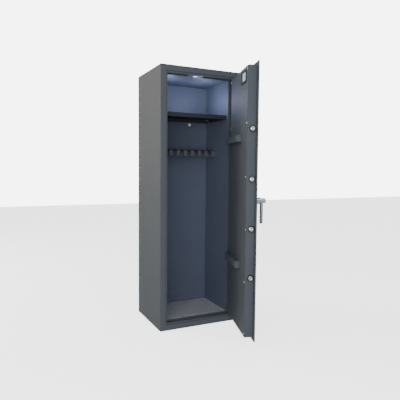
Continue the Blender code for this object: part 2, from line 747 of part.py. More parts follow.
def make_keyhole_cover():
    """A drop-shaped flap that swings on a rivet above the keyhole."""
    centre_z, radius, top = KEY.z, COVER_R, COVER_Z
    lean = acos((radius - COVER_EAR_R) / (top - centre_z))
    outline = []
    for i in range(13):
        angle = pi / 2 + lean + (2 * pi - 2 * lean) * i / 12
        outline.append((KEY.x + radius * cos(angle), centre_z + radius * sin(angle)))
    for i in range(7):
        angle = pi / 2 - lean + 2 * lean * i / 6
        outline.append((KEY.x + COVER_EAR_R * cos(angle), top + COVER_EAR_R * sin(angle)))
    cover = extruded("keyhole_cover", outline, back(-0.0052), back(-0.0036), "Y", CHROME)
    hole = rod("drill", (KEY.x, back(-0.01), top), (KEY.x, back(0.0), top), RIVET_R + GAP, STEEL, 16)
    return combine(cover, [hole], "DIFFERENCE")


def assemble():
    make_shell()
    make_anchor_caps()
    make_carpet()
    make_shelf()
    make_rack()
    make_lamp()
    make_hinge_brackets()

    door = empty("door_pivot", PIVOT)
    hang(make_door() + make_bushes() + make_hinge_arms() + make_front_furniture()
         + [make_rating_plate()] + make_lock_case(), door)

    slide = empty("bolt_slide", (BOLT_TIP_X, back(BOLT_BACK), MID_Z), door)
    hang(make_bolts(), slide)

    handle = empty("handle_axis", (SPINDLE.x, back(0), SPINDLE.z), door)
    hang(make_handle(), handle)

    barrel, dead = make_lock()
    hang([barrel], empty("key_axis", (KEY.x, back(0), KEY.z), door))
    hang([dead], empty("dead_bolt_slide", (DEAD_X[0], back(0.03), LOCK_Z[0]), door))
    hang([make_keyhole_cover()], empty("cover_axis", (KEY.x, back(0), COVER_Z), door))

    door.rotation_euler.z = DOOR_OPEN
    bpy.context.view_layer.update()


clear_scene()
PARTS = bpy.data.collections.new("gun_safe")
bpy.context.scene.collection.children.link(PARTS)
PAINT = material("grey_hammer_paint", (0.16, 0.17, 0.16), 0.55)
LINER = material("blue_grey_lining", (0.14, 0.17, 0.25), 0.5)
FILL = material("fire_board", (0.62, 0.60, 0.55), 0.95)
CARPET = material("grey_carpet", (0.22, 0.23, 0.24), 1.0)
CHROME = material("chrome", (0.75, 0.75, 0.76), 0.15, 1.0)
ZINC = material("zinc_plate", (0.42, 0.43, 0.44), 0.4, 1.0)
STEEL = material("bright_steel", (0.45, 0.45, 0.46), 0.35, 1.0)
BRASS = material("brass", (0.60, 0.44, 0.18), 0.3, 1.0)
RUBBER = material("black_rubber", (0.02, 0.02, 0.02), 0.8)
PLASTIC = material("black_plastic", (0.02, 0.02, 0.025), 0.45)
WHITE = material("white_plastic", (0.75, 0.75, 0.74), 0.45)
LENS = material("lamp_lens", (0.9, 0.92, 1.0), 0.3)
assemble()
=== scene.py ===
"""Finish and setting of a tall steel gun safe whose door stands open.

Every length is in metres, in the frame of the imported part: the front faces -Y,
the hinge side is +X and the base stands on Z = 0.  Pieces of the door are
modelled with the door shut and then swung to where it stands.
"""

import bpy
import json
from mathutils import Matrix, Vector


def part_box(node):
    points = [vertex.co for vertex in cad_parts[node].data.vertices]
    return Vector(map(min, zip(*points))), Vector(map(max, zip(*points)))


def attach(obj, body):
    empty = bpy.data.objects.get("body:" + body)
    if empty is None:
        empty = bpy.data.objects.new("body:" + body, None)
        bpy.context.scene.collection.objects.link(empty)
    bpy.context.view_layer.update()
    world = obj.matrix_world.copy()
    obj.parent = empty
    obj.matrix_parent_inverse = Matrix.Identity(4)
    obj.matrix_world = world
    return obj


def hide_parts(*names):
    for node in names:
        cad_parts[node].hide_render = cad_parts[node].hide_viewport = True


bl_info = {
    "name": "Steel gun safe",
    "version": (1, 0, 0),
    "blender": (4, 5, 0),
    "location": "3D View > Sidebar > Gun safe",
    "description": "Builds the finished pieces of a fire-lined steel gun safe",
    "category": "Object",
}

import json
import math

import bmesh
import bpy
from bpy.props import (
    FloatProperty,
    FloatVectorProperty,
    PointerProperty,
)
from mathutils import Matrix, Vector

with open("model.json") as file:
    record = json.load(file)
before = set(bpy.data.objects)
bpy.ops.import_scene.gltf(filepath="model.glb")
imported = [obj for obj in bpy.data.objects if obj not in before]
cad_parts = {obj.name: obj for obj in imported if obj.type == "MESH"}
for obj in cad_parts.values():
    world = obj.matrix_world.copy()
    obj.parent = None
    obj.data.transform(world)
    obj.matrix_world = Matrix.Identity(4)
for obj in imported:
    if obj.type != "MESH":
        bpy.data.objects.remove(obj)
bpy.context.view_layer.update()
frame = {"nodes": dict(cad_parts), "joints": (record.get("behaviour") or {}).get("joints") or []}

# ---------------------------------------------------------------- where things are
HINGE = next(j for j in frame["joints"] if j["name"] == "door_hinge")
PIVOT = Vector(HINGE["pos_m"])
STANDS_OPEN = math.radians(-HINGE["range_deg"][0])
SWING = (Matrix.Translation(PIVOT) @ Matrix.Rotation(STANDS_OPEN, 4, "Z")
         @ Matrix.Translation(-PIVOT))
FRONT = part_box("outer_casing")[0].y
SIDES = ("left", "right")
LEVELS = ("lower", "upper")

# The door frame's folded section: in from its outer edge, back from the front.
BAND = 0.0287
RIM = 0.0397
LEDGE = (0.0060, 0.0085)
JAMB = (0.0585, 0.0610)
FRAME_SHEET = 0.0030


def shut_box(node):
    """Lowest and highest corner of one of the door's nodes with the door shut."""
    back = SWING.inverted()
    points = [back @ v.co for v in frame["nodes"][node].data.vertices]
    low = Vector([min(p[i] for p in points) for i in range(3)])
    high = Vector([max(p[i] for p in points) for i in range(3)])
    return low, high


def middle(low, high):
    return (Vector(low) + Vector(high)) / 2


def linear(code):
    """An sRGB hex colour as linear red, green and blue."""
    values = [int(code[i:i + 2], 16) / 255 for i in (1, 3, 5)]
    return [v / 12.92 if v <= 0.04045 else ((v + 0.055) / 1.055) ** 2.4 for v in values]


# ================================================================ what a user may change
def length(name, text, default, top=0.02):
    return FloatProperty(name=name, description=text, default=default, min=0.0,
                         max=top, subtype="DISTANCE", unit="LENGTH", precision=4)


def tint(name, text, code):
    return FloatVectorProperty(name=name, description=text, default=linear(code),
                               size=3, min=0.0, max=1.0, subtype="COLOR")


class SafeSizes(bpy.types.PropertyGroup):
    """Radii and small depths of the finished pieces."""

    casing_radius: length("Casing edge", "Outside radius of the folded casing", 0.0022)
    fold_radius: length("Frame fold", "Radius of the door frame's folds", 0.0009)
    plate_radius: length("Door plate edge", "Radius of the door plate's edges", 0.0010)
    box_radius: length("Door box fold", "Radius of the door box's folds", 0.0022)
    panel_radius: length("Panel edge", "Radius of the inner panel's edges", 0.0004)
    tray_radius: length("Shelf fold", "Radius of the shelf and rack folds", 0.0010)
    recess: length("Screw recess", "Depth of the cross recess in a screw", 0.0012)
    pile: length("Felt pile", "Rise and fall of the felt's surface", 0.0011)


class SafeFinishes(bpy.types.PropertyGroup):
    """Colours and lamp of the finished pieces."""

    paint: tint("Paint", "Powder coat of the body and the door", "#474B4D")
    # Darker coat on the shelf: painted shade.
    shelf_painted_shade: tint("Shelf coat with painted shade", "Powder coat of the shelf", "#26292C")
    lining: tint("Lining", "Satin paint of the inner lining", "#4F5562")
    felt: tint("Felt", "Floor felt", "#7C7E80")
    chrome: tint("Chrome", "Chrome-plated bolts, screws and hub", "#D2D4D2")
    zinc: tint("Zinc", "Zinc-plated hinge brackets", "#85898C")
    # Darker colour for the lever's plating: painted shade.
    lever_chrome_painted_shade: tint("Lever chrome with painted shade", "Satin nickel plate of the lever", "#6C6E6B")
    nylon: tint("Nylon", "Moulded black nylon", "#0E0F10")
    lamp: tint("Lamp", "Light of the lamp", "#C8D3F6")
    lamp_power: FloatProperty(name="Lamp power", description="Power of the lamp's light",
                              default=3.0, min=0.0, unit="POWER")


def sizes():
    return bpy.context.scene.safe_sizes


def finishes():
    return bpy.context.scene.safe_finishes


# ================================================================ modelling by operators
def bare():
    """Object mode with nothing selected."""
    if bpy.context.mode != "OBJECT":
        bpy.ops.object.mode_set(mode="OBJECT")
    bpy.ops.object.select_all(action="DESELECT")


def only(piece):
    """Select one piece and nothing else."""
    bare()
    piece.select_set(True)
    bpy.context.view_layer.objects.active = piece


def settle(name):
    """Name the new primitive and put its place into its mesh."""
    piece = bpy.context.active_object
    piece.name = name
    piece.data.name = name
    bpy.ops.object.transform_apply(location=True, rotation=True, scale=True)
    return piece


def shape(piece, kind="FACE"):
    """Open a piece in edit mode with nothing selected."""
    only(piece)
    bpy.ops.object.mode_set(mode="EDIT")
    bpy.ops.mesh.select_mode(type=kind)
    bpy.ops.mesh.select_all(action="DESELECT")


def pick(piece, wanted, kind="FACE"):
    """Select the faces, edges or vertices for which wanted(element) is true."""
    shape(piece, kind)
    bm = bmesh.from_edit_mesh(piece.data)
    group = {"FACE": bm.faces, "EDGE": bm.edges, "VERT": bm.verts}[kind]
    for element in group:
        element.select_set(wanted(element))
    bm.select_flush_mode()
    bmesh.update_edit_mesh(piece.data)


def whole(piece, gap=1e-6):
    """Merge doubles and turn every face outwards."""
    shape(piece, "VERT")
    bpy.ops.mesh.select_all(action="SELECT")
    bpy.ops.mesh.remove_doubles(threshold=gap)
    bpy.ops.mesh.normals_make_consistent(inside=False)
    bare()


def block(name, low, high):
    """A cube that fills the space between two corners."""
    bare()
    size = Vector(high) - Vector(low)
    bpy.ops.mesh.primitive_cube_add(size=1, location=middle(low, high), scale=size)
    return settle(name)


def flat(name, centre, size, turn=0.0):
    """A rectangle, lying on the floor or turned up about X."""
    bare()
    bpy.ops.mesh.primitive_plane_add(size=1, location=centre, rotation=(turn, 0, 0))
    bpy.context.active_object.scale = (*size, 1)
    return settle(name)


def rod(name, start, end, radius, sides=32):
    """A cylinder from one point to another."""
    bare()
    start, end = Vector(start), Vector(end)
    turn = (end - start).to_track_quat("Z", "Y").to_euler()
    bpy.ops.mesh.primitive_cylinder_add(vertices=sides, radius=radius, rotation=turn,
                                        depth=(end - start).length,
                                        location=(start + end) / 2)
    return settle(name)


def turned(name, foot, axis, profile, steps=48):
    """A round piece: half its outline is drawn point by point and spun.

    profile lists (radius, distance along the axis); it starts and ends on the
    axis, or comes back to its first point where the piece is bored.
    """
    foot, axis = Vector(foot), Vector(axis).normalized()
    out = axis.orthogonal().normalized()
    points = [foot + out * radius + axis * along for radius, along in profile]
    bare()
    bpy.ops.mesh.primitive_plane_add(size=0.001, location=points[0])
    piece = settle(name)
    shape(piece, "VERT")
    bpy.ops.mesh.select_all(action="SELECT")
    bpy.ops.mesh.merge(type="CENTER")
    for here, there in zip(points, points[1:]):
        bpy.ops.mesh.extrude_vertices_move(
            TRANSFORM_OT_translate={"value": there - here})
    bpy.ops.mesh.select_all(action="SELECT")
    bpy.ops.mesh.spin(steps=steps, angle=2 * math.pi, center=foot, axis=axis)
    whole(piece)
    return piece


def folded_ring(name, x, z, profile):
    """A section carried round a rectangle, one extruded edge loop at a time.

    profile lists (inset from the rectangle, Y) and closes on itself.
    """
    width, height = x[1] - x[0], z[1] - z[0]
    centre = ((x[0] + x[1]) / 2, profile[0][1], (z[0] + z[1]) / 2)
    piece = flat(name, centre, (width, height), math.pi / 2)
    shape(piece, "EDGE")
    bpy.ops.mesh.select_all(action="SELECT")
    bpy.ops.mesh.delete(type="ONLY_FACE")
    bpy.ops.mesh.select_all(action="SELECT")
    for (inset, y), (following, back) in zip(profile, profile[1:] + profile[:1]):
        bpy.ops.mesh.extrude_edges_move(TRANSFORM_OT_translate={"value": (0, back - y, 0)})
        bpy.ops.transform.resize(
            value=((width - 2 * following) / (width - 2 * inset), 1,
                   (height - 2 * following) / (height - 2 * inset)),
            center_override=centre)
    whole(piece, 1e-5)
    return piece


def apply(piece, kind, **settings):
    """Give a piece one modifier and apply it."""
    only(piece)
    modifier = piece.modifiers.new(kind.title(), kind)
    for name, value in settings.items():
        setattr(modifier, name, value)
    bpy.ops.object.modifier_apply(modifier=modifier.name)


def cut(piece, tools):
    """Take away the tools' shapes, all at once."""
    only(tools[0])
    for tool in tools:
        tool.select_set(True)
    if len(tools) > 1:
        bpy.ops.object.join()
    tool = bpy.context.active_object
    apply(piece, "BOOLEAN", operation="DIFFERENCE", solver="EXACT", object=tool)
    bpy.data.objects.remove(tool)


def rounded(piece, width, segments=3, angle=32):
    """Round a piece's edges and shade it smooth with flat faces kept flat."""
    apply(piece, "BEVEL", width=width, segments=segments, limit_method="ANGLE",
          angle_limit=math.radians(angle), miter_outer="MITER_ARC")
    smooth(piece)


def smooth(piece, angle=38):
    only(piece)
    bpy.ops.object.shade_smooth_by_angle(angle=math.radians(angle))
    apply(piece, "WEIGHTED_NORMAL", keep_sharp=True, weight=80)


def tray(name, low, high, wall, open_side):
    """A block without its face on open_side, given a wall inwards."""
    piece = block(name, low, high)
    open_side = Vector(open_side)
    pick(piece, lambda face: face.normal.dot(open_side) > 0.9)
    bpy.ops.mesh.delete(type="FACE")
    bare()
    apply(piece, "SOLIDIFY", thickness=wall, offset=-1, use_even_offset=True)
    return piece


def copied(name, node):
    """A merged copy of a node, its flat faces made whole, ready to be finished."""
    source = frame["nodes"][node]
    piece = bpy.data.objects.new(name, source.data.copy())
    bpy.context.scene.collection.objects.link(piece)
    piece.data.name = name
    piece.data.materials.clear()
    whole(piece)
    bpy.ops.object.select_all(action="DESELECT")
    only(piece)
    bpy.ops.mesh.customdata_custom_splitnormals_clear()
    shape(piece)
    bpy.ops.mesh.select_all(action="SELECT")
    bpy.ops.mesh.dissolve_limited(angle_limit=math.radians(0.5))
    bare()
    return piece


def twin(piece, name, shift):
    """A copy with its own mesh, moved by shift."""
    only(piece)
    bpy.ops.object.duplicate(linked=False)
    copy = bpy.context.active_object
    bpy.ops.transform.translate(value=shift)
    copy.name = name
    copy.data.name = name
    bpy.ops.object.transform_apply(location=True, rotation=True, scale=True)
    return copy


def swing(piece):
    """Turn a piece modelled with the door shut to where the door stands."""
    only(piece)
    piece.matrix_world = SWING @ piece.matrix_world
    bpy.ops.object.transform_apply(location=True, rotation=True, scale=True)


def finish(piece, body, slot, material, *nodes):
    """Give a piece its material and its body, and hide the nodes it stands for. The slot is not
    used.
    """
    if not piece.data.materials:
        piece.data.materials.append(material)
    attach(piece, body)
    if nodes:
        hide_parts(*nodes)


# ================================================================ materials
def add(tree, kind, inputs=None, **settings):
    """Add one node; an input given a socket is linked, any other is a value."""
    made = tree.nodes.new(kind)
    for name, value in settings.items():
        setattr(made, name, value)
    for name, value in (inputs or {}).items():
        if isinstance(value, bpy.types.NodeSocket):
            tree.links.new(value, made.inputs[name])
        else:
            made.inputs[name].default_value = value
    return made


def new_material(name):
    """The material of that name, and its empty tree where it is new."""
    found = bpy.data.materials.get(name)
    if found:
        return found, None
    made = bpy.data.materials.new(name)
    made.use_nodes = True
    made.node_tree.nodes.clear()
    return made, made.node_tree


def close(tree, inputs, bump=None):
    """End a tree with its Principled shader and, where given, a bump."""
    if bump:
        height, strength, distance = bump
        normal = add(tree, "ShaderNodeBump", {"Height": height, "Strength": strength,
                                              "Distance": distance})
        inputs["Normal"] = normal.outputs["Normal"]
    shader = add(tree, "ShaderNodeBsdfPrincipled", inputs)
    add(tree, "ShaderNodeOutputMaterial", {"Surface": shader.outputs["BSDF"]})


def per_metre(size):
    """The scale that makes a noise's features about size metres across."""
    return 1.0 / size


def noise(tree, place, size, detail=3.0, rough=0.5):
    return add(tree, "ShaderNodeTexNoise", {
        "Vector": place, "Scale": per_metre(size), "Detail": detail,
        "Roughness": rough}).outputs["Fac"]


def ramp(tree, value, low, high):
    """The value stretched so that low becomes 0 and high becomes 1."""
    return add(tree, "ShaderNodeMapRange", {
        "Value": value, "From Min": low, "From Max": high}).outputs["Result"]


def span(tree, value, low, high):
    """A value from 0 to 1 spread between low and high."""
    return add(tree, "ShaderNodeMapRange", {
        "Value": value, "To Min": low, "To Max": high}).outputs["Result"]


def blend_colour(tree, factor, first, second):
    mixed = add(tree, "ShaderNodeMix", data_type="RGBA")
    for index, value in ((0, factor), (6, first), (7, second)):
        if isinstance(value, bpy.types.NodeSocket):
            tree.links.new(value, mixed.inputs[index])
        else:
            mixed.inputs[index].default_value = value if index == 0 else (*value, 1.0)
    return mixed.outputs[2]


def object_place(tree):
    return add(tree, "ShaderNodeTexCoord").outputs["Object"]


def shade(colour, share):
    return [min(1.0, c * share) for c in colour]


def powder_coat(name, colour, coarse=0.0016, rough=(0.54, 0.68)):
    """Polyester powder coat sprayed on sheet steel and baked.

    To the eye: matt and even, with a fine orange peel, a faint cloudiness and
    here and there a light rub.
    """
    made, tree = new_material(name)
    if tree is None:
        return made
    place = object_place(tree)
    clouds = noise(tree, place, 0.16, 2.0)
    mottle = noise(tree, place, 0.0045, 2.0)
    # The peel of a real coat is under 0.5 mm across; drawn coarser so it shows.
    peel = noise(tree, place, coarse, 2.0)
    stretched = add(tree, "ShaderNodeMapping", {
        "Vector": place, "Scale": (14.0, 14.0, 1.2)}).outputs["Vector"]
    rubs = ramp(tree, noise(tree, stretched, 0.09, 5.0, 0.62), 0.66, 0.78)
    colours = blend_colour(tree, clouds, shade(colour, 0.90), shade(colour, 1.10))
    colours = blend_colour(tree, span(tree, mottle, 0.0, 0.22), colours, shade(colour, 0.72))
    colours = blend_colour(tree, span(tree, rubs, 0.0, 0.10), colours, shade(colour, 1.9))
    close(tree, {
        "Base Color": colours,
        "Roughness": span(tree, mottle, *rough),
        "IOR": 1.5,
        "Specular IOR Level": 0.30,
    }, bump=(peel, 0.28, 0.00035))
    return made


def paint():
    return powder_coat("grey_powder_coat", finishes().paint)


def shelf_painted_shade_coat():
    """The same coat, made darker on the shelf as painted shade."""
    return powder_coat("shelf_coat_painted_shade", finishes().shelf_painted_shade)


def lining_paint():
    """Thinner satin paint on the lining: smoother and a little bluer."""
    return powder_coat("blue_grey_satin_paint", finishes().lining, 0.0024, (0.44, 0.56))


def plated(name, colour, rough, grain, share):
    """Electroplated steel: bright metal with the tool marks of its turning.

    To the eye: mirror-like but for fine uneven streaks and a slight cloud.
    """
    made, tree = new_material(name)
    if tree is None:
        return made
    place = object_place(tree)
    cloud = noise(tree, place, 0.018, 3.0)
    streaks = noise(tree, place, grain, 4.0, 0.6)
    colours = blend_colour(tree, cloud, shade(colour, 1.0 - share), colour)
    close(tree, {
        "Base Color": colours,
        "Metallic": 1.0,
        "Roughness": span(tree, streaks, *rough),
    }, bump=(streaks, 0.10, 0.0002))
    return made


def chrome():
    return plated("polished_chrome_plate", finishes().chrome, (0.10, 0.24), 0.0014, 0.10)


def lever_chrome_painted_shade():
    """Satin chrome on the lever: softer than the bolts' chrome, and darker as painted shade."""
    return plated("satin_chrome_painted_shade", finishes().lever_chrome_painted_shade, (0.20, 0.34), 0.0016, 0.16)


def zinc():
    """Barrel-plated zinc: duller and cloudier than chrome."""
    return plated("dull_zinc_plate", finishes().zinc, (0.34, 0.56), 0.0030, 0.28)


def rolled_steel():
    """Cold-rolled steel with a trace of oil, inside the door."""
    return plated("cold_rolled_steel", linear("#9A9C9E"), (0.28, 0.46), 0.0022, 0.22)


def brass():
    """Free-cutting brass, turned, lightly dulled by handling."""
    return plated("turned_brass", linear("#C39A4C"), (0.20, 0.38), 0.0012, 0.20)


def moulded(name, colour, rough, bump=0.12):
    """Injection-moulded plastic.

    To the eye: soft broad highlights over a fine spark-eroded grain.
    """
    made, tree = new_material(name)
    if tree is None:
        return made
    place = object_place(tree)
    # Mould grain of about 0.3 mm, drawn at 0.8 mm so it shows.
    grain = noise(tree, place, 0.0008, 2.0)
    cloud = noise(tree, place, 0.020, 2.0)
    colours = blend_colour(tree, cloud, shade(colour, 0.86), shade(colour, 1.08))
    close(tree, {
        "Base Color": colours,
        "Roughness": span(tree, grain, *rough),
        "IOR": 1.49,
    }, bump=(grain, bump, 0.0002))
    return made


def nylon():
    return moulded("moulded_black_nylon", finishes().nylon, (0.38, 0.55))


def black_vinyl():
    """Matt vinyl printed black, the rim of the blank certificate plate."""
    return moulded("matt_black_vinyl", linear("#08090A"), (0.78, 0.92), 0.05)


def white_polymer():
    return moulded("moulded_white_polypropylene", linear("#DAD9D4"), (0.35, 0.50))


def rubber():
    """Ribbed natural rubber: dead black, dusty grey on its high spots."""
    made, tree = new_material("ribbed_black_rubber")
    if tree is None:
        return made
    place = object_place(tree)
    dust = noise(tree, place, 0.012, 4.0, 0.6)
    # Ribs 3 mm apart run across the comb.
    ribs = add(tree, "ShaderNodeTexWave", {
        "Vector": place, "Scale": per_metre(0.003) / 3.1, "Distortion": 0.0},
        wave_type="BANDS", bands_direction="X").outputs["Fac"]
    colours = blend_colour(tree, ramp(tree, dust, 0.45, 0.80), linear("#141415"),
                           linear("#2C2D2E"))
    close(tree, {
        "Base Color": colours,
        "Roughness": span(tree, dust, 0.72, 0.92),
        "IOR": 1.52,
    }, bump=(ribs, 0.35, 0.0006))
    return made


def felt():
    """Needle-punched polyester floor felt.

    To the eye: no gloss, short tangled fibres in several greys, small tufts.
    """
    made, tree = new_material("needle_punched_felt")
    if tree is None:
        return made
    place = object_place(tree)
    colour = finishes().felt
    # Fibres are 0.05 mm; tufts of 2.5 mm and flecks of 1.2 mm are drawn instead.
    tufts = noise(tree, place, 0.0060, 5.0, 0.7)
    flecks = noise(tree, place, 0.0022, 3.0, 0.7)
    wear = noise(tree, place, 0.11, 3.0)
    colours = blend_colour(tree, ramp(tree, tufts, 0.32, 0.68), shade(colour, 0.40),
                           shade(colour, 1.25))
    colours = blend_colour(tree, span(tree, ramp(tree, flecks, 0.58, 0.70), 0.0, 0.55),
                           colours, shade(colour, 2.0))
    colours = blend_colour(tree, span(tree, wear, 0.0, 0.5), colours, shade(colour, 0.65))
    close(tree, {
        "Base Color": colours,
        "Roughness": 0.95,
        "Specular IOR Level": 0.15,
        "Sheen Weight": 0.25,
        "Sheen Roughness": 0.6,
    }, bump=(tufts, 0.9, 0.0016))
    return made


def fire_board():
    """Calcium silicate board: chalky, pale, pitted with small voids."""
    made, tree = new_material("calcium_silicate_board")
    if tree is None:
        return made
    place = object_place(tree)
    grit = noise(tree, place, 0.0040, 5.0, 0.65)
    pits = add(tree, "ShaderNodeTexVoronoi", {
        "Vector": place, "Scale": per_metre(0.009)}).outputs["Distance"]
    colours = blend_colour(tree, grit, linear("#B9B3A6"), linear("#DAD5C9"))
    colours = blend_colour(tree, ramp(tree, pits, 0.16, 0.05), colours, linear("#8A8478"))
    close(tree, {
        "Base Color": colours,
        "Roughness": span(tree, grit, 0.85, 0.98),
        "IOR": 1.5,
    }, bump=(grit, 0.5, 0.0008))
    return made


def lamp_glass():
    """Frosted polycarbonate in front of a cool white diode."""
    made, tree = new_material("frosted_polycarbonate")
    if tree is None:
        return made
    place = object_place(tree)
    frost = noise(tree, place, 0.0016, 3.0)
    close(tree, {
        "Base Color": blend_colour(tree, frost, linear("#D9E2F2"), linear("#FFFFFF")),
        "Roughness": span(tree, frost, 0.35, 0.55),
        "IOR": 1.58,
        "Emission Color": (*finishes().lamp, 1.0),
        "Emission Strength": 0.8,
    }, bump=(frost, 0.2, 0.0002))
    return made


def label_field():
    """Satin white vinyl of the blank certificate plate, a little uneven."""
    return moulded("satin_white_vinyl", linear("#D5D8DC"), (0.30, 0.42), 0.05)


# ================================================================ the body
class SAFE_OT_casing(bpy.types.Operator):
    """Folded steel casing, open at the front, with two anchor holes behind"""

    bl_idname = "gun_safe.casing"
    bl_label = "Casing"

    def execute(self, context):
        low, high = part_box("outer_casing")
        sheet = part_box("door_frame")[0].x - low.x
        piece = tray("casing_shell", low, high, sheet, (0, -1, 0))
        bounds = (low, high)

        def outside(edge):
            """True for an edge where two of the casing's outer faces meet."""
            ends = [v.co for v in edge.verts]
            faces = [sum(all(abs(p[axis] - side[axis]) < 1e-5 for p in ends)
                         for side in bounds) for axis in range(3)]
            return sum(faces) >= 2

        pick(piece, outside, "EDGE")
        bpy.ops.mesh.bevel(offset=sizes().casing_radius, segments=4, affect="EDGES")
        bare()
        cut(piece, anchor_drills("outer_casing"))
        smooth(piece)
        finish(piece, "safe_body", "grey_paint", paint(), "outer_casing")
        return {"FINISHED"}


def anchor_drills(node):
    """Drills for the two anchor holes, through a node's back wall."""
    low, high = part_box(node)
    drills = []
    for side in SIDES:
        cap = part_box(f"anchor_cap_{side}")
        centre = middle(*cap)
        start = (centre.x, high.y - 0.025, centre.z)
        end = (centre.x, high.y + 0.01, centre.z)
        drills.append(rod("drill", start, end, 0.0070, 40))
    return drills


class SAFE_OT_door_frame(bpy.types.Operator):
    """Folded frame round the door opening: band, rebate, ledge, bolt channel"""

    bl_idname = "gun_safe.door_frame"
    bl_label = "Door frame"

    def execute(self, context):
        root = BAND - FRAME_SHEET
        fold = self.ring("door_frame_fold", "door_frame", [
            (0.0, 0.0), (BAND, 0.0), (BAND, LEDGE[0]), (RIM, LEDGE[0]), (RIM, LEDGE[1]),
            (root, LEDGE[1]), (root, FRAME_SHEET), (0.0, FRAME_SHEET)])
        cut(fold, [self.notch(level) for level in LEVELS])
        jamb = self.ring("door_frame_jamb", "door_jamb", [
            (0.0, JAMB[0]), (RIM, JAMB[0]), (RIM, JAMB[1]), (0.0, JAMB[1])])
        for piece, node in ((fold, "door_frame"), (jamb, "door_jamb")):
            pick(piece, self.folded, "EDGE")
            bpy.ops.mesh.bevel(offset=sizes().fold_radius, segments=3, affect="EDGES")
            smooth(piece)
            finish(piece, "safe_body", "grey_paint", paint(), node)
        return {"FINISHED"}

    @staticmethod
    def ring(name, node, profile):
        low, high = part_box(node)
        return folded_ring(name, (low.x, high.x), (low.z, high.z),
                           [(inset, FRONT + back) for inset, back in profile])

    @staticmethod
    def folded(edge):
        """True for a sharp edge that isn't on the seam with the casing."""
        low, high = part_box("door_frame")
        ends = [v.co for v in edge.verts]
        seam = any(all(abs(p[axis] - side[axis]) < 1e-4 for p in ends)
                   for side in (low, high) for axis in (0, 2))
        return not seam and edge.is_manifold and edge.calc_face_angle(0) > 0.6

    @staticmethod
    def notch(level):
        """Room in the ledge for a hinge neck to pass."""
        centre = middle(*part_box(f"hinge_bracket_{level}")).z
        return block("notch", (0.2045, FRONT + LEDGE[0] - 0.0015, centre - 0.022),
                     (0.2225, FRONT + LEDGE[1] + 0.004, centre + 0.022))


class SAFE_OT_lining(bpy.types.Operator):
    """Inner lining of thin painted steel, open at the front"""

    bl_idname = "gun_safe.lining"
    bl_label = "Lining"

    def execute(self, context):
        low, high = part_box("inner_lining")
        piece = tray("lining_tray", low, high, 0.0015, (0, -1, 0))
        cut(piece, anchor_drills("inner_lining"))
        rounded(piece, 0.0005, 2)
        finish(piece, "safe_body", "blue_grey_lining", lining_paint(), "inner_lining")
        return {"FINISHED"}


class SAFE_OT_felt(bpy.types.Operator):
    """Felt on the floor, with a slightly uneven pile"""

    bl_idname = "gun_safe.felt"
    bl_label = "Floor felt"

    def execute(self, context):
        low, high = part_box("floor_carpet")
        piece = block("floor_felt", low, high)
        pick(piece, lambda edge: min(v.co.z for v in edge.verts) > middle(low, high).z,
             "EDGE")
        bpy.ops.mesh.bevel(offset=0.0016, segments=2, affect="EDGES")
        pick(piece, lambda face: face.normal.z > 0.99)
        bpy.ops.mesh.subdivide(number_cuts=90)
        bare()
        grain = bpy.data.textures.new("pile", "CLOUDS")
        grain.noise_scale = 0.009
        grain.noise_depth = 3
        top = piece.vertex_groups.new(name="pile")
        chosen = [v.index for v in piece.data.vertices if v.co.z > high.z - 1e-5
                  and low.x + 0.003 < v.co.x < high.x - 0.003
                  and low.y + 0.003 < v.co.y < high.y - 0.003]
        top.add(chosen, 1.0, "REPLACE")
        apply(piece, "DISPLACE", texture=grain, texture_coords="LOCAL", direction="Z",
              strength=sizes().pile, mid_level=0.5, vertex_group="pile")
        piece.vertex_groups.clear()
        bpy.data.textures.remove(grain)
        only(piece)
        bpy.ops.object.shade_smooth_by_angle(angle=math.radians(50))
        finish(piece, "safe_body", "carpet", felt(), "floor_carpet")
        return {"FINISHED"}


class SAFE_OT_shelf(bpy.types.Operator):
    """Shelf tray with flanges folded down all round, on four studs"""

    bl_idname = "gun_safe.shelf"
    bl_label = "Shelf"

    def execute(self, context):
        low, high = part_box("shelf")
        piece = tray("shelf_tray", low, high, 0.0015, (0, 0, -1))
        rooms = []
        for side in SIDES:
            for end in ("front", "rear"):
                stud = middle(*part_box(f"shelf_clip_{side}_{end}"))
                edge = low.x if side == "left" else high.x
                rooms.append(block("room", (edge - 0.004, stud.y - 0.007, low.z - 0.01),
                                   (edge + 0.004, stud.y + 0.007, high.z - 0.0015)))
        cut(piece, rooms)
        rounded(piece, min(sizes().tray_radius, 0.0006), 3)
        # The shelf's darker coat is painted shade; its slot is the body's grey paint.
        finish(piece, "safe_body", "grey_paint", shelf_painted_shade_coat(), "shelf")
        self.studs()
        return {"FINISHED"}

    @staticmethod
    def studs():
        """Turned studs in the side walls, grooved where the shelf drops on."""
        for side, sign in zip(SIDES, (1, -1)):
            low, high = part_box(f"shelf_clip_{side}_front")
            centre = middle(low, high)
            foot = (low.x if sign > 0 else high.x, centre.y, centre.z)
            first = turned(f"shelf_stud_{side}_front", foot, (sign, 0, 0), [
                (0, 0), (0.0050, 0), (0.0050, 0.0022), (0.0043, 0.0026), (0.0043, 0.0034),
                (0.0051, 0.0038), (0.0052, 0.0132), (0.0048, 0.0146), (0.0036, 0.0158),
                (0, 0.0160)], 32)
            smooth(first)
            rear = middle(*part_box(f"shelf_clip_{side}_rear"))
            second = twin(first, f"shelf_stud_{side}_rear", rear - centre)
            for piece, end in ((first, "front"), (second, "rear")):
                finish(piece, "safe_body", "chrome", chrome(), f"shelf_clip_{side}_{end}")


class SAFE_OT_barrel_rest(bpy.types.Operator):
    """Notched barrel rest, its folds rounded, with a ribbed rubber pad"""

    bl_idname = "gun_safe.barrel_rest"
    bl_label = "Barrel rest"

    def execute(self, context):
        comb = copied("barrel_comb", "barrel_rack")
        rounded(comb, 0.0006, 2, 40)
        finish(comb, "safe_body", "grey_paint", paint(), "barrel_rack")
        pad = copied("barrel_comb_pad", "rack_rubber")
        rounded(pad, 0.0009, 3, 40)
        finish(pad, "safe_body", "rubber", rubber(), "rack_rubber")
        return {"FINISHED"}


